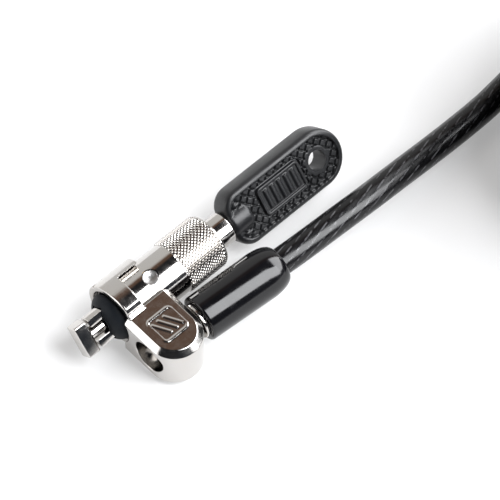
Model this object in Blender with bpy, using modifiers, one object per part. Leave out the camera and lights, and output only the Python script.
"""Laptop cable lock: a T-bar lock head with a swivelling ear, a tubular key, and a steel cable with a crimped end loop.

The lock axis is X: the T-bar's outer face is at X = 0 and the key's bow points to +X. The ear that holds
the cable is on the -Y side, and +Z is up. The origin is the middle of the T-bar's outer face.
Blender 4.5, metres.
"""

import math

import bmesh
import bpy
from mathutils import Matrix, Vector

MM = 0.001
GAP = 0.3 * MM  # between pieces that touch
RUNNING = 0.1 * MM  # radial clearance of a shaft in its hole
TURN = 2 * math.pi

# Angles about the lock axis, from +Y towards +Z.
KEY_ANGLE = math.radians(52)  # the long side of the T-bar, the pegs and the key's bow
PIN_ANGLE = math.radians(100)
TAB_HALF_ANGLE = math.radians(67.4)

# The T-bar and its spindle. A station is a place along the lock axis.
T_LONG, T_WIDE, T_THICK = 6.8 * MM, 2.9 * MM, 2.8 * MM
T_EDGE = 0.35 * MM
NECK_R = 1.3 * MM
NECK_END = 11.6 * MM
SPINDLE_R = 1.0 * MM
SPINDLE_END = 24.6 * MM

# The two pegs that stop the lock turning in its slot, and the rubber pad round them.
PEG_START = 3.2 * MM
PEG_INNER_R, PEG_OUTER_R = 2.0 * MM, 3.3 * MM
PEG_WIDE = 2.6 * MM
PLATE_START, PLATE_END = 9.3 * MM, 10.9 * MM
PAD_START, PAD_EDGE, PAD_END = 6.1 * MM, 8.6 * MM, 8.8 * MM
PAD_TOP_R, PAD_R = 1.8 * MM, 4.95 * MM

# The barrel.
BARREL_START, BARREL_END = 9.1 * MM, 33.0 * MM
BARREL_R = 5.35 * MM
JOURNAL_R, JOURNAL_END = 4.95 * MM, 12.6 * MM
LAND_R = JOURNAL_R + RUNNING  # of the collar, on the journal
KNURL_START, KNURL_END, KNURL_R = 23.5 * MM, 32.4 * MM, 5.65 * MM
CORE_R = 4.3 * MM
LIP_START, LIP_R = 25.8 * MM, 3.45 * MM
RING_START, RING_THICK = 9.7 * MM, 0.5 * MM
RING_INNER_R, RING_OUTER_R = 4.72 * MM, 5.3 * MM
RING_GAP_ANGLE = math.radians(36)
PIN_STATION, PIN_R = 17.3 * MM, 1.5 * MM
PIN_FOOT, PIN_HEAD = 3.8 * MM, 5.2 * MM  # flush, so that the collar can turn over it

# The lock's core: a fixed stator and a turning rotor that meet at the shear plane.
STATOR_START, SHEAR = 11.2 * MM, 21.4 * MM
ROTOR_START, ROTOR_FACE, POST_END = 21.6 * MM, 25.4 * MM, 32.4 * MM
POST_R = 2.2 * MM
PIN_COUNT = 7
TUMBLER_R, TUMBLER_HOLE_R = 0.5 * MM, 0.58 * MM
TUMBLER_PITCH_R = 2.85 * MM
CHAMBER_START = 12.4 * MM
DRIVER_START, DRIVER_END = 17.2 * MM, 21.35 * MM
KEY_PIN_START = 21.65 * MM
BITTING = [1.2 * MM, 0.6 * MM, 1.5 * MM, 0.3 * MM, 0.9 * MM, 1.8 * MM, 0.6 * MM]
SPRING_WIRE_R, SPRING_TURNS = 0.09 * MM, 4
DOWEL_STATION, DOWEL_R = 23.5 * MM, 0.4 * MM

# The key.
SHANK_R, SHANK_BORE_R = 3.3 * MM, 2.4 * MM
SHANK_START, SHANK_BORE_END, SHANK_SHOULDER = 25.8 * MM, 34.0 * MM, 36.9 * MM
TANG_R, TANG_END = 1.9 * MM, 43.6 * MM
NIB_WIDE, NIB_END = 0.9 * MM, 28.6 * MM
BOW_START, BOW_END = 37.2 * MM, 65.3 * MM
BOW_HALF_WIDE, BOW_THICK = 5.9 * MM, 5.0 * MM
BOW_NECK_CORNER_R, BOW_EDGE = 2.6 * MM, 0.6 * MM
BOW_RIM, BOW_RECESS = 1.1 * MM, 0.45 * MM
HUB_R, HUB_END = 3.1 * MM, 42.2 * MM
RING_HOLE_X, RING_HOLE_R = 59.2 * MM, 2.0 * MM

# The swivel collar: a sleeve on the barrel's journal, and an ear that holds the cable's ball.
SLEEVE_START, SLEEVE_END, TAB_END = 8.6 * MM, 12.4 * MM, 17.4 * MM
SLEEVE_R, SLEEVE_BORE_R = 6.65 * MM, 5.45 * MM
LAND_START, LAND_END = 10.4 * MM, 12.3 * MM
EAR_START, EAR_END = 7.6 * MM, 18.6 * MM
NOSE_CENTRE, EAR_NOSE_R = (13.1 * MM, -12.0 * MM), 5.5 * MM
EAR_TOP, EAR_FOOT, EAR_BEVEL = 4.45 * MM, -5.9 * MM, 1.2 * MM
EAR_INNER_Y = -4.9 * MM
BALL_CENTRE = Vector((13.1, -10.8, -0.6)) * MM
SOCKET_R = 3.5 * MM
SLOT_HALF, SLOT_SIDE = 1.45 * MM, 3.5 * MM  # the neck's opening, with room on one side for the ear's swing

# The cable's end: distances along the cable from the ball's centre.
BOOT_TURN = math.radians(-3.7)  # about Z, from +X
CABLE_DIRECTION = Vector((math.cos(BOOT_TURN), math.sin(BOOT_TURN), 0))
BALL_R, STUD_NECK_R = 3.3 * MM, 1.25 * MM
FLANGE_START, FLANGE_END, FLANGE_R = 6.0 * MM, 6.6 * MM, 3.6 * MM
STUD_TAIL_R, STUD_HEAD_R = 1.5 * MM, 2.0 * MM
STUD_HEAD_START, STUD_END = 11.0 * MM, 12.2 * MM
CRIMP_START, CRIMP_END, CRIMP_R = 7.1 * MM, 21.5 * MM, 3.3 * MM
BOOT_START, BOOT_END = 6.8 * MM, 26.0 * MM
BOOT_FRONT_R, BOOT_R = 4.65 * MM, 4.85 * MM  # it widens a little towards its rounded rear end
BOOT_REAR_R, BOOT_ROUND = 3.3 * MM, 4.6 * MM
CABLE_START = 14.3 * MM

# The cable.
TABLE = -SLEEVE_R
CABLE_R = 2.75 * MM
CABLE_D = 2 * CABLE_R
LYING = TABLE + CABLE_R
LEAD_END_Y = -10.5 * MM  # where the cable runs into the coil, heading to +X
COIL_OUTER_R, COIL_INNER_R = 32.0 * MM, 22.4 * MM  # of the cable's centre
COIL_LAYERS = 4
COIL_X, COIL_Y = 118.6 * MM, LEAD_END_Y - COIL_OUTER_R
ENTRY_ROOM = 2.2 * MM  # between the coil's solid and the cable that comes in beside it
COIL_TOP = TABLE + COIL_LAYERS * CABLE_D
TIE_THICK, TIE_WIDE = 0.9 * MM, 12 * MM
TIE_ANGLES = [math.radians(-50), math.radians(215)]
FERRULE_ANGLE, FERRULE_R = math.radians(60), 27 * MM
FERRULE_LONG, FERRULE_WIDE, FERRULE_HIGH = 20 * MM, 7.6 * MM, 13.4 * MM
RUN_SPACING = 6.2 * MM  # between the cable's two runs in the end ferrule, one above the other
LOOP_Z = COIL_TOP + TIE_THICK + 2 * GAP + CABLE_R

ROUND = 48  # sides of the larger turned pieces
SMALL_ROUND = 12


# Scene and materials


def clear_scene():
    for obj in list(bpy.data.objects):
        bpy.data.objects.remove(obj)
    for name in ("laptop_cable_lock", "cutters"):
        bpy.context.scene.collection.children.link(bpy.data.collections.new(name))


def make_material(name, color, roughness, metallic):
    material = bpy.data.materials.new(name)
    material.use_nodes = True
    shader = material.node_tree.nodes["Principled BSDF"]
    shader.inputs["Base Color"].default_value = (*color, 1)
    shader.inputs["Roughness"].default_value = roughness
    shader.inputs["Metallic"].default_value = metallic
    return material


def nickel(name):
    return make_material(name, (0.62, 0.59, 0.55), 0.22, 1)


def brass(name):
    return make_material(name, (0.72, 0.52, 0.24), 0.3, 1)


def steel(name):
    return make_material(name, (0.5, 0.5, 0.5), 0.35, 1)


def black_plastic(name):
    return make_material(name, (0.012, 0.012, 0.014), 0.35, 0)


def black_rubber(name):
    return make_material(name, (0.012, 0.016, 0.024), 0.7, 0)


# Shapes


def add_object(name, data, matrix, material, cutter=False):
    obj = bpy.data.objects.new(name, data)
    bpy.data.collections["cutters" if cutter else "laptop_cable_lock"].objects.link(obj)
    obj.matrix_world = matrix
    if cutter:
        obj.hide_render = True
        obj.display_type = "WIRE"
    if material:
        data.materials.append(material(name) if callable(material) else material)
    return obj


def mesh_of(bm, name, smooth=True):
    mesh = bpy.data.meshes.new(name)
    bm.to_mesh(mesh)
    bm.free()
    if smooth:
        mesh.shade_smooth()
        mesh.set_sharp_from_angle(angle=math.radians(35))
    return mesh


def along(direction, origin=(0, 0, 0)):
    """The placement whose local Z runs along direction."""
    turn = Vector(direction).to_track_quat("Z", "Y").to_matrix().to_4x4()
    return Matrix.Translation(Vector(origin)) @ turn


LOCK_AXIS = along((1, 0, 0))
CABLE_AXIS = along(CABLE_DIRECTION, BALL_CENTRE)
COIL_PLACE = Matrix.Translation((COIL_X, COIL_Y, 0))


def about_lock_axis(angle):
    """Turns a shape made along +Y so that it lies at an angle about the lock axis."""
    return Matrix.Rotation(angle, 4, "X")


def radial(angle, station, radius):
    """A point at a station of the lock axis, an angle about it and a radius."""
    return Vector((station, radius * math.cos(angle), radius * math.sin(angle)))


def turned(name, profile, material, matrix=LOCK_AXIS, sides=ROUND, closed=False, cutter=False):
    """A turned piece. The profile's (station, radius) points run up the outer side, then, when it is
    closed, back down the bore."""
    mesh = bpy.data.meshes.new(name)
    points = [(radius, 0, station) for station, radius in reversed(profile)]
    edges = [(i, i + 1) for i in range(len(points) - 1)]
    if closed:
        edges.append((len(points) - 1, 0))
    mesh.from_pydata(points, edges, [])
    obj = add_object(name, mesh, matrix, material, cutter)
    screw = obj.modifiers.new("Turn", "SCREW")
    screw.axis = "Z"
    screw.steps = screw.render_steps = sides
    screw.use_merge_vertices = True
    screw.merge_threshold = 0.001 * MM
    screw.use_smooth_shade = True
    return obj


def rod(name, start, end, radius, material, sides=SMALL_ROUND, cutter=False):
    """A plain cylinder between two points."""
    start, end = Vector(start), Vector(end)
    bm = bmesh.new()
    bmesh.ops.create_cone(
        bm, cap_ends=True, segments=sides, radius1=radius, radius2=radius, depth=(end - start).length
    )
    return add_object(name, mesh_of(bm, name), along(end - start, (start + end) / 2), material, cutter)


def block(name, low, high, material, matrix=Matrix(), bevel=0, cutter=False):
    """A box between two corners, with its edges rounded off by bevel."""
    low, high = Vector(low), Vector(high)
    bm = bmesh.new()
    bmesh.ops.create_cube(bm, size=1)
    bmesh.ops.scale(bm, vec=high - low, verts=bm.verts)
    bmesh.ops.translate(bm, vec=(low + high) / 2, verts=bm.verts)
    obj = add_object(name, mesh_of(bm, name, smooth=False), matrix, material, cutter)
    if bevel:
        add_bevel(obj, bevel, 2)
    return obj


def slab(name, outline, half_thick, material, matrix=Matrix(), cutter=False):
    """A flat piece of the outline's (x, y) points, as a mesh."""
    curve = bpy.data.curves.new(name, "CURVE")
    curve.dimensions = "2D"
    curve.fill_mode = "BOTH"
    curve.extrude = half_thick
    spline = curve.splines.new("POLY")
    spline.points.add(len(outline) - 1)
    for point, (x, y) in zip(spline.points, outline):
        point.co = (x, y, 0, 1)
    spline.use_cyclic_u = True
    guide = bpy.data.objects.new(name + "_outline", curve)
    bpy.context.scene.collection.objects.link(guide)
    evaluated = guide.evaluated_get(bpy.context.evaluated_depsgraph_get())
    mesh = bpy.data.meshes.new_from_object(evaluated)
    bpy.data.objects.remove(guide)
    bm = bmesh.new()
    bm.from_mesh(mesh)
    bmesh.ops.remove_doubles(bm, verts=bm.verts, dist=0.001 * MM)
    bmesh.ops.recalc_face_normals(bm, faces=bm.faces)
    bpy.data.meshes.remove(mesh)
    return add_object(name, mesh_of(bm, name), matrix, material, cutter)


def arc(centre, radius, start, end, steps):
    """Points of an arc in a plane, with angles in radians."""
    angles = [start + (end - start) * i / steps for i in range(steps + 1)]
    return [(centre[0] + radius * math.cos(a), centre[1] + radius * math.sin(a)) for a in angles]


def quarter_turn(steps):
    return [math.pi / 2 * i / steps for i in range(steps)] + [math.pi / 2]


def tube(name, points, radius, material, sides_level=2, cyclic=False):
    """A round tube through the points."""
    curve = bpy.data.curves.new(name, "CURVE")
    curve.dimensions = "3D"
    curve.bevel_depth = radius
    curve.bevel_resolution = sides_level
    curve.use_fill_caps = True
    curve.twist_mode = "MINIMUM"
    spline = curve.splines.new("POLY")
    spline.points.add(len(points) - 1)
    for point, place in zip(spline.points, points):
        point.co = (*place, 1)
    spline.use_cyclic_u = cyclic
    return add_object(name, curve, Matrix(), material)


def combine(obj, other, operation):
    modifier = obj.modifiers.new(other.name, "BOOLEAN")
    modifier.operation = operation
    modifier.object = other


def cut(obj, *cutters):
    for cutter in cutters:
        combine(obj, cutter, "DIFFERENCE")


def add_bevel(obj, width, segments=1):
    bevel = obj.modifiers.new("Bevel", "BEVEL")
    bevel.width = width
    bevel.segments = segments
    bevel.limit_method = "ANGLE"
    bevel.angle_limit = math.radians(40)


def tumbler_angle(i):
    return KEY_ANGLE + TURN * (i + 0.5) / PIN_COUNT


# The lock head


def make_spindle():
    """The T-bar and the spindle that turns it."""
    neck_in_head = T_THICK / 2
    profile = [(neck_in_head, 0), (neck_in_head, NECK_R), (NECK_END, NECK_R), (NECK_END, SPINDLE_R)]
    profile += [(SPINDLE_END, SPINDLE_R), (SPINDLE_END, 0)]
    spindle = turned("t_bar_spindle", profile, nickel, sides=32)
    low, high = (0, -T_LONG / 2, -T_WIDE / 2), (T_THICK, T_LONG / 2, T_WIDE / 2)
    head = block("t_bar_head", low, high, None, about_lock_axis(KEY_ANGLE), T_EDGE, cutter=True)
    combine(spindle, head, "UNION")
    start = radial(dowel_angle(), DOWEL_STATION, 0)
    end = radial(dowel_angle(), DOWEL_STATION, 2 * SPINDLE_R)
    cut(spindle, rod("spindle_dowel_hole", start, end, DOWEL_R + 0.05 * MM, None, cutter=True))


def dowel_angle():
    return tumbler_angle(0) + TURN * 0.5 / PIN_COUNT


def make_peg_plate():
    bore_r = NECK_R + 0.15 * MM
    profile = [(PEG_START, PEG_OUTER_R), (PLATE_START, PEG_OUTER_R), (PLATE_START, CORE_R - RUNNING)]
    profile += [(PLATE_END, CORE_R - RUNNING), (PLATE_END, bore_r), (PLATE_START - GAP, bore_r)]
    profile += [(PLATE_START - GAP, PEG_INNER_R), (PEG_START, PEG_INNER_R)]
    plate = turned("peg_plate", profile, nickel, sides=36, closed=True)
    for side in (-1, 1):
        wide = sorted((side * PEG_WIDE / 2, side * 2 * PEG_OUTER_R))
        low = (PEG_START - MM, -2 * PEG_OUTER_R, wide[0])
        high = (PLATE_START - 0.001 * MM, 2 * PEG_OUTER_R, wide[1])
        beside = block(f"beside_peg_{side}", low, high, None, about_lock_axis(KEY_ANGLE), cutter=True)
        cut(plate, beside)


def make_pad():
    """The rubber pad that presses on the laptop's wall: a low dome."""
    bore_r = NECK_R + GAP
    dome_steps = 5
    profile = []
    for i in range(dome_steps + 1):
        t = i / dome_steps * math.pi / 2
        station = PAD_START + (PAD_EDGE - PAD_START) * (1 - math.cos(t))
        profile.append((station, PAD_TOP_R + (PAD_R - PAD_TOP_R) * math.sin(t)))
    profile += [(PAD_END, PAD_R), (PAD_END, bore_r), (PAD_START, bore_r)]
    pad = turned("nose_pad", profile, black_rubber, sides=36, closed=True)
    nearest = math.sqrt(PEG_INNER_R**2 - (PEG_WIDE / 2) ** 2) - GAP
    half_wide = PEG_WIDE / 2 + GAP
    for side in (-1, 1):
        reach = sorted((side * nearest, side * (PEG_OUTER_R + GAP)))
        low, high = (PAD_START - MM, reach[0], -half_wide), (PAD_END + MM, reach[1], half_wide)
        cut(pad, block(f"peg_hole_{side}", low, high, None, about_lock_axis(KEY_ANGLE), cutter=True))


def make_barrel():
    groove_r = RING_INNER_R - RUNNING
    ring_end = RING_START + RING_THICK
    profile = [(BARREL_START, JOURNAL_R), (RING_START - RUNNING, JOURNAL_R)]
    profile += [(RING_START - RUNNING, groove_r), (ring_end + RUNNING, groove_r)]
    profile += [(ring_end + RUNNING, JOURNAL_R), (JOURNAL_END, JOURNAL_R), (JOURNAL_END, BARREL_R)]
    profile += [(KNURL_START, BARREL_R), (KNURL_START, KNURL_R), (KNURL_END, KNURL_R)]
    profile += [(BARREL_END, BARREL_R), (BARREL_END, LIP_R), (LIP_START, LIP_R), (LIP_START, CORE_R)]
    profile += [(BARREL_START, CORE_R)]
    barrel = turned("barrel_housing", profile, nickel, closed=True)
    foot = radial(PIN_ANGLE, PIN_STATION, PIN_FOOT - RUNNING)
    beyond = radial(PIN_ANGLE, PIN_STATION, BARREL_R + MM)
    cut(barrel, rod("retaining_pin_hole", foot, beyond, PIN_R + 0.06 * MM, None, 32, cutter=True))


def make_retaining_pin():
    foot = radial(PIN_ANGLE, PIN_STATION, PIN_FOOT)
    head = radial(PIN_ANGLE, PIN_STATION, PIN_HEAD)
    rod("retaining_pin", foot, head, PIN_R, steel, 32)


def make_snap_ring():
    """The split ring in the barrel's groove that keeps the collar on."""
    middle_r = (RING_INNER_R + RING_OUTER_R) / 2
    section = [(RING_START, RING_OUTER_R), (RING_START + RING_THICK, RING_OUTER_R)]
    section += [(RING_START + RING_THICK, RING_INNER_R), (RING_START, RING_INNER_R)]
    ring = turned("collar_snap_ring", section, steel, sides=36, closed=True)
    half_gap = middle_r * math.sin(RING_GAP_ANGLE / 2)
    low = (RING_START - MM, 0, -half_gap)
    high = (RING_START + RING_THICK + MM, 2 * RING_OUTER_R, half_gap)
    cut(ring, block("snap_ring_gap", low, high, None, about_lock_axis(math.pi), cutter=True))


def make_stator():
    """The fixed half of the core, with a chamber for each driver pin and its spring."""
    bore_r = SPINDLE_R + 0.12 * MM
    profile = [(STATOR_START, CORE_R - RUNNING), (SHEAR, CORE_R - RUNNING), (SHEAR, bore_r)]
    neck_room = NECK_END + GAP
    profile += [(neck_room, bore_r), (neck_room, NECK_R + 0.15 * MM), (STATOR_START, NECK_R + 0.15 * MM)]
    stator = turned("stator", profile, brass, sides=36, closed=True)
    for i in range(PIN_COUNT):
        start = radial(tumbler_angle(i), CHAMBER_START, TUMBLER_PITCH_R)
        end = radial(tumbler_angle(i), SHEAR + MM, TUMBLER_PITCH_R)
        cut(stator, rod(f"chamber_{i + 1}", start, end, TUMBLER_HOLE_R, None, cutter=True))
    foot = radial(PIN_ANGLE, PIN_STATION, PIN_FOOT - RUNNING)
    beyond = radial(PIN_ANGLE, PIN_STATION, 2 * CORE_R)
    cut(stator, rod("retaining_pin_seat", foot, beyond, PIN_R + 0.06 * MM, None, 32, cutter=True))


def make_rotor():
    """The turning half of the core. The key slides over its post and turns it by a groove in the post."""
    socket_r = SPINDLE_R + 0.06 * MM
    chamfer = 0.4 * MM
    profile = [(ROTOR_START, CORE_R - 0.15 * MM), (ROTOR_FACE, CORE_R - 0.15 * MM), (ROTOR_FACE, POST_R)]
    profile += [(POST_END - chamfer, POST_R), (POST_END, POST_R - chamfer), (POST_END, 0)]
    profile += [(SPINDLE_END + RUNNING, 0), (SPINDLE_END + RUNNING, socket_r), (ROTOR_START, socket_r)]
    rotor = turned("rotor", profile, brass, sides=36, closed=True)
    for i in range(PIN_COUNT):
        start = radial(tumbler_angle(i), ROTOR_START - MM, TUMBLER_PITCH_R)
        end = radial(tumbler_angle(i), POST_END, TUMBLER_PITCH_R)
        cut(rotor, rod(f"rotor_hole_{i + 1}", start, end, TUMBLER_HOLE_R, None, cutter=True))
    half_wide = NIB_WIDE / 2 + 0.12 * MM
    low = (ROTOR_FACE + 0.05 * MM, POST_R - 0.65 * MM, -half_wide)
    high = (POST_END + MM, 2 * POST_R, half_wide)
    groove = block("post_groove", low, high, None, about_lock_axis(KEY_ANGLE), cutter=True)
    start = radial(dowel_angle(), DOWEL_STATION, socket_r / 2)
    end = radial(dowel_angle(), DOWEL_STATION, 2 * CORE_R)
    dowel_hole = rod("rotor_dowel_hole", start, end, DOWEL_R + 0.05 * MM, None, cutter=True)
    cut(rotor, groove, dowel_hole)


def make_dowel():
    """The dowel that locks the spindle to the rotor."""
    start = radial(dowel_angle(), DOWEL_STATION, 0.35 * MM)
    end = radial(dowel_angle(), DOWEL_STATION, CORE_R - 0.35 * MM)
    rod("spindle_dowel", start, end, DOWEL_R, steel)


def make_tumbler(i):
    """One driver pin, its spring and its key pin. The key holds the pair's joint at the shear plane."""
    angle = tumbler_angle(i)
    start = radial(angle, DRIVER_START, TUMBLER_PITCH_R)
    end = radial(angle, DRIVER_END, TUMBLER_PITCH_R)
    rod(f"driver_pin_{i + 1}", start, end, TUMBLER_R, steel)
    start = radial(angle, KEY_PIN_START, TUMBLER_PITCH_R)
    end = radial(angle, SHANK_START + BITTING[i] - RUNNING, TUMBLER_PITCH_R)
    rod(f"key_pin_{i + 1}", start, end, TUMBLER_R, brass)
    coil_r = TUMBLER_R - SPRING_WIRE_R
    first = CHAMBER_START + 2 * SPRING_WIRE_R
    long = DRIVER_START - 2 * SPRING_WIRE_R - first
    steps_per_turn = 6
    points = []
    for step in range(SPRING_TURNS * steps_per_turn + 1):
        turn = TURN * step / steps_per_turn
        centre = radial(angle, first + long * step / (SPRING_TURNS * steps_per_turn), TUMBLER_PITCH_R)
        points.append(centre + radial(turn, 0, coil_r))
    tube(f"driver_spring_{i + 1}", points, SPRING_WIRE_R, steel, sides_level=0)


# The key


def make_key_shank():
    profile = [(SHANK_START, SHANK_R), (SHANK_SHOULDER, SHANK_R), (SHANK_SHOULDER, TANG_R)]
    profile += [(TANG_END, TANG_R), (TANG_END, 0), (SHANK_BORE_END, 0), (SHANK_BORE_END, SHANK_BORE_R)]
    profile += [(SHANK_START, SHANK_BORE_R)]
    shank = turned("key_shank", profile, nickel, closed=True)
    for i in range(PIN_COUNT):
        start = radial(tumbler_angle(i), SHANK_START - MM, TUMBLER_PITCH_R)
        end = radial(tumbler_angle(i), SHANK_START + BITTING[i], TUMBLER_PITCH_R)
        cut(shank, rod(f"key_cut_{i + 1}", start, end, 0.66 * MM, None, cutter=True))
    low = (SHANK_START, POST_R - 0.5 * MM, -NIB_WIDE / 2)
    high = (NIB_END, SHANK_BORE_R + 0.3 * MM, NIB_WIDE / 2)
    nib = block("key_nib", low, high, None, about_lock_axis(KEY_ANGLE), cutter=True)
    combine(shank, nib, "UNION")


def bow_outline(inset):
    """The bow's outline, moved in by inset: a round far end, and a neck end with small corners."""
    half = BOW_HALF_WIDE - inset
    corner = BOW_NECK_CORNER_R - 0.5 * inset
    start = BOW_START + inset
    points = arc((BOW_END - BOW_HALF_WIDE, 0), half, -math.pi / 2, math.pi / 2, 20)
    points += arc((start + corner, half - corner), corner, math.pi / 2, math.pi, 6)
    points += arc((start + corner, corner - half), corner, math.pi, 1.5 * math.pi, 6)
    return points


def make_key_bow():
    """The moulded grip, with a rim round a shallow panel on each side, a hub, and a hole for a key ring."""
    place = about_lock_axis(KEY_ANGLE)
    bow = slab("key_bow", bow_outline(0), BOW_THICK / 2, black_plastic, place)
    add_bevel(bow, BOW_EDGE, 2)
    for side in (-1, 1):
        offset = side * (BOW_THICK / 2 - BOW_RECESS + MM)
        panel_place = place @ Matrix.Translation((0, 0, offset))
        cut(bow, slab(f"bow_panel_{side}", bow_outline(BOW_RIM), MM, None, panel_place, cutter=True))
    hub = [(BOW_START + 0.4 * MM, 0), (BOW_START + 0.4 * MM, HUB_R), (HUB_END - MM, HUB_R)]
    hub += [(HUB_END, HUB_R - MM), (HUB_END, 0)]
    combine(bow, turned("bow_hub", hub, None, sides=32, cutter=True), "UNION")
    bore = [(BOW_START - MM, 0), (BOW_START - MM, TANG_R + RUNNING)]
    bore += [(TANG_END + RUNNING, TANG_R + RUNNING), (TANG_END + RUNNING, 0)]
    cut(bow, turned("tang_bore", bore, None, sides=32, cutter=True))
    start, end = place @ Vector((RING_HOLE_X, 0, -BOW_THICK)), place @ Vector((RING_HOLE_X, 0, BOW_THICK))
    cut(bow, rod("key_ring_hole", start, end, RING_HOLE_R, None, 24, cutter=True))


# The collar


def make_collar():
    section = [(SLEEVE_START, SLEEVE_R), (TAB_END, SLEEVE_R), (TAB_END, LAND_R), (SLEEVE_START, LAND_R)]
    collar = turned("swivel_collar", section, nickel, closed=True)
    low = (SLEEVE_END, -2 * SLEEVE_R, -2 * SLEEVE_R)
    high = (TAB_END + MM, SLEEVE_R * math.cos(TAB_HALF_ANGLE), 2 * SLEEVE_R)
    cut(collar, block("beside_tab", low, high, None, cutter=True))
    outline = arc(NOSE_CENTRE, EAR_NOSE_R, -math.pi, 0, 20)
    outline += [(EAR_END, EAR_INNER_Y), (EAR_START, EAR_INNER_Y)]
    middle = Matrix.Translation((0, 0, (EAR_TOP + EAR_FOOT) / 2))
    ear = slab("ear", outline, (EAR_TOP - EAR_FOOT) / 2, None, middle, cutter=True)
    add_bevel(ear, EAR_BEVEL)
    combine(collar, ear, "UNION")
    bore = [(EAR_START - MM, 0), (EAR_START - MM, SLEEVE_BORE_R), (LAND_START, SLEEVE_BORE_R)]
    bore += [(LAND_START, LAND_R), (LAND_END, LAND_R), (LAND_END, SLEEVE_BORE_R)]
    bore += [(EAR_END + MM, SLEEVE_BORE_R), (EAR_END + MM, 0)]
    cut(collar, turned("sleeve_bore", bore, None, cutter=True))
    socket_axis = along((1, 0, 0), BALL_CENTRE)
    front = EAR_START - MM - BALL_CENTRE.x
    socket = [(front, 0), (front, SOCKET_R)]
    socket += [(SOCKET_R * math.sin(a), SOCKET_R * math.cos(a)) for a in quarter_turn(7)]
    cut(collar, turned("ball_socket", socket, None, socket_axis, 28, cutter=True))
    low = BALL_CENTRE + Vector((0, -SLOT_SIDE, -SLOT_HALF))
    high = BALL_CENTRE + Vector((2 * EAR_NOSE_R, SLOT_HALF, SLOT_HALF))
    cut(collar, block("neck_slot", low, high, None, cutter=True))

# The cable and what is on it


def make_ball_stud():
    """The ball, its neck, its flange, and a headed tail that turns in the crimp ferrule."""
    ball_steps = 9
    neck_angle = math.asin(STUD_NECK_R / BALL_R)
    profile = []
    for i in range(ball_steps + 1):
        angle = math.pi - (math.pi - neck_angle) * i / ball_steps
        radius = BALL_R * math.sin(angle) if i else 0
        profile.append((BALL_R * math.cos(angle), radius))
    profile += [(FLANGE_START, STUD_NECK_R), (FLANGE_START, FLANGE_R), (FLANGE_END, FLANGE_R)]
    profile += [(FLANGE_END, STUD_TAIL_R), (STUD_HEAD_START, STUD_TAIL_R)]
    profile += [(STUD_HEAD_START, STUD_HEAD_R), (STUD_END, STUD_HEAD_R), (STUD_END, 0)]
    turned("ball_stud", profile, nickel, CABLE_AXIS, 28)


def make_crimp_ferrule():
    tail_bore, head_bore = STUD_TAIL_R + RUNNING, STUD_HEAD_R + RUNNING
    cable_bore = CABLE_R + 0.15 * MM
    profile = [(CRIMP_START, CRIMP_R), (CRIMP_END, CRIMP_R), (CRIMP_END, cable_bore)]
    profile += [(CABLE_START - GAP, cable_bore), (CABLE_START - GAP, 0), (STUD_END + RUNNING, 0)]
    profile += [(STUD_END + RUNNING, head_bore), (STUD_HEAD_START - RUNNING, head_bore)]
    profile += [(STUD_HEAD_START - RUNNING, tail_bore), (CRIMP_START, tail_bore)]
    turned("crimp_ferrule", profile, steel, CABLE_AXIS, 28, closed=True)


def make_boot():
    front_round = 0.5 * MM
    profile = [(BOOT_START, BOOT_FRONT_R - front_round), (BOOT_START + front_round, BOOT_FRONT_R)]
    for a in quarter_turn(5):
        station = BOOT_END - BOOT_ROUND * (1 - math.sin(a))
        profile.append((station, BOOT_REAR_R + (BOOT_R - BOOT_REAR_R) * math.cos(a)))
    bore, rear_bore = CRIMP_R + RUNNING, CABLE_R + GAP
    profile += [(BOOT_END, rear_bore), (CRIMP_END + GAP, rear_bore), (CRIMP_END + GAP, bore)]
    profile += [(BOOT_START, bore)]
    turned("cable_boot", profile, black_plastic, CABLE_AXIS, 32, closed=True)


def smooth_curve(points, per_span):
    """Points of a smooth curve through the route's own points (centripetal Catmull-Rom)."""
    route = [Vector(p) for p in points]
    route = [2 * route[0] - route[1]] + route + [2 * route[-1] - route[-2]]
    result = []
    for p0, p1, p2, p3 in zip(route, route[1:], route[2:], route[3:]):
        t1 = (p1 - p0).length ** 0.5
        t2 = t1 + (p2 - p1).length ** 0.5
        t3 = t2 + (p3 - p2).length ** 0.5
        for i in range(per_span):
            t = t1 + (t2 - t1) * i / per_span
            a1 = p0.lerp(p1, t / t1)
            a2 = p1.lerp(p2, (t - t1) / (t2 - t1))
            a3 = p2.lerp(p3, (t - t2) / (t3 - t2))
            result.append(a1.lerp(a2, t / t2).lerp(a2.lerp(a3, (t - t1) / (t3 - t1)), (t - t1) / (t2 - t1)))
    return result + [route[-2]]


def lead_route():
    """The cable from inside the crimp ferrule to where it joins the coil."""
    straight = [BALL_CENTRE + CABLE_DIRECTION * s * MM for s in (14.3, 20.5, 26.0, 31.0)]
    lying = [(54.0, -13.05, -0.95), (62.0, -13.1, -1.6), (70.0, -13.0, -2.35), (78.0, -12.95, -3.05)]
    lying += [(86.0, -12.85, -3.6), (94.0, -12.6, -3.88), (102.0, -11.85, -3.9), (110.0, -11.0, -3.9)]
    coil_start = Vector((COIL_X - GAP, LEAD_END_Y, LYING))
    return straight + [Vector(p) * MM for p in lying] + [coil_start]


def make_lead():
    tube("cable", smooth_curve(lead_route(), 3), CABLE_R, black_plastic, sides_level=4)


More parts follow.
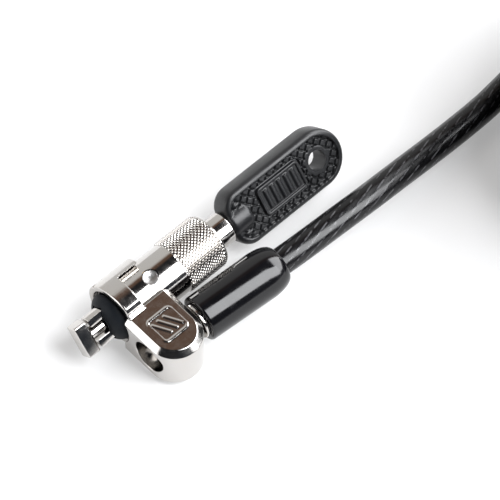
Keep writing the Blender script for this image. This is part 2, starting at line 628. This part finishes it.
def make_coil():
    """The outer shape of the coil, with room for the ties and for the cable that runs into its outer turn."""
    outer, inner = COIL_OUTER_R + CABLE_R, COIL_INNER_R - CABLE_R
    section = [(TABLE, outer), (COIL_TOP, outer), (COIL_TOP, inner), (TABLE, inner)]
    coil = turned("cable_coil", section, black_plastic, COIL_PLACE, closed=True)
    low = (COIL_X - COIL_OUTER_R, LEAD_END_Y - CABLE_R - ENTRY_ROOM, TABLE - MM)
    high = (COIL_X, LEAD_END_Y + COIL_OUTER_R, TABLE + CABLE_D + GAP)
    cut(coil, block("entry_room", low, high, None, cutter=True))
    half_wide = TIE_WIDE / 2 + GAP
    low = (inner - CABLE_D, -half_wide, TABLE - MM)
    high = (outer + CABLE_D, half_wide, TABLE + TIE_THICK + GAP)
    for i, angle in enumerate(TIE_ANGLES):
        cut(coil, block(f"tie_room_{i + 1}", low, high, None, tie_place(angle), cutter=True))


def tie_place(angle):
    return COIL_PLACE @ Matrix.Rotation(angle, 4, "Z")


def make_tie(i):
    """A strap that holds the coil together."""
    half_wide = TIE_WIDE / 2
    bore_at_edge = math.sqrt((COIL_INNER_R - CABLE_R) ** 2 - half_wide**2)
    low = Vector((bore_at_edge - GAP - TIE_THICK, -half_wide, TABLE))
    high = Vector((COIL_OUTER_R + CABLE_R + GAP + TIE_THICK, half_wide, COIL_TOP + GAP + TIE_THICK))
    place = tie_place(TIE_ANGLES[i])
    tie = block(f"coil_tie_{i + 1}", low, high, black_rubber, place, bevel=0.4 * MM)
    inside = Vector((TIE_THICK, -TIE_WIDE, TIE_THICK))
    cut(tie, block(f"inside_tie_{i + 1}", low + inside, high - inside, None, place, cutter=True))


def loop_route():
    """The cable's last stretch, lying on the coil: through the end ferrule's lower hole, round the eye, and
    up into its upper hole. The points are seen from the coil's centre, with y towards the ferrule and z
    above the lower hole."""
    half, line, up = FERRULE_LONG / 2 / MM, FERRULE_R / MM, RUN_SPACING / MM
    points = [(-18.0, 25.6, -0.1)] + [(x, line, 0) for x in (-half - 1, -half, half, half + 1)]
    points += [(18.0, 25.6, 0), (24.3, 21.6, 0), (29.0, 15.3, 0), (31.6, 7.5, 0), (31.4, -0.8, 0)]
    points += [(28.8, -9.4, 0), (24.0, -17.0, 0), (17.4, -23.0, 0), (9.2, -26.9, 0), (0.2, -28.4, 0)]
    points += [(-8.8, -27.2, 0), (-17.2, -23.4, 0.1), (-24.2, -17.6, 0.6), (-29.4, -10.0, 1.6)]
    points += [(-31.6, -1.4, 2.9), (-31.6, 6.6, 4.2), (-30.0, 14.2, 5.2), (-25.0, 21.1, 5.9), (-18.2, 25.5, up - 0.1)]
    points += [(x, line, up) for x in (-half - 1, -half, half - 2)]
    place = ferrule_place() @ Matrix.Translation((0, -FERRULE_R, -RUN_SPACING / 2))
    return [place @ (Vector(point) * MM) for point in points]


def ferrule_place():
    """The end ferrule's middle, with x along the cable and y away from the coil's centre."""
    turn = Matrix.Rotation(FERRULE_ANGLE - math.pi / 2, 4, "Z")
    return COIL_PLACE @ turn @ Matrix.Translation((0, FERRULE_R, LOOP_Z + RUN_SPACING / 2))


def make_loop():
    tube("cable_loop", smooth_curve(loop_route(), 2), CABLE_R, black_plastic, sides_level=3)


def make_end_ferrule():
    """The swaged sleeve that closes the end loop, with a hole for each run of the cable."""
    half = Vector((FERRULE_LONG, FERRULE_WIDE, FERRULE_HIGH)) / 2
    ferrule = block("end_ferrule", -half, half, steel, ferrule_place(), bevel=2.2 * MM)
    for side in (-1, 1):
        start = ferrule_place() @ Vector((-FERRULE_LONG, 0, side * RUN_SPACING / 2))
        end = ferrule_place() @ Vector((FERRULE_LONG, 0, side * RUN_SPACING / 2))
        cut(ferrule, rod(f"cable_run_{side}", start, end, CABLE_R + 0.2 * MM, None, 24, cutter=True))


def main():
    clear_scene()
    make_spindle()
    make_peg_plate()
    make_pad()
    make_barrel()
    make_retaining_pin()
    make_snap_ring()
    make_stator()
    make_rotor()
    make_dowel()
    for i in range(PIN_COUNT):
        make_tumbler(i)
    make_key_shank()
    make_key_bow()
    make_collar()
    make_ball_stud()
    make_crimp_ferrule()
    make_boot()
    make_lead()
    make_coil()
    for i in range(len(TIE_ANGLES)):
        make_tie(i)
    make_loop()
    make_end_ferrule()


main()
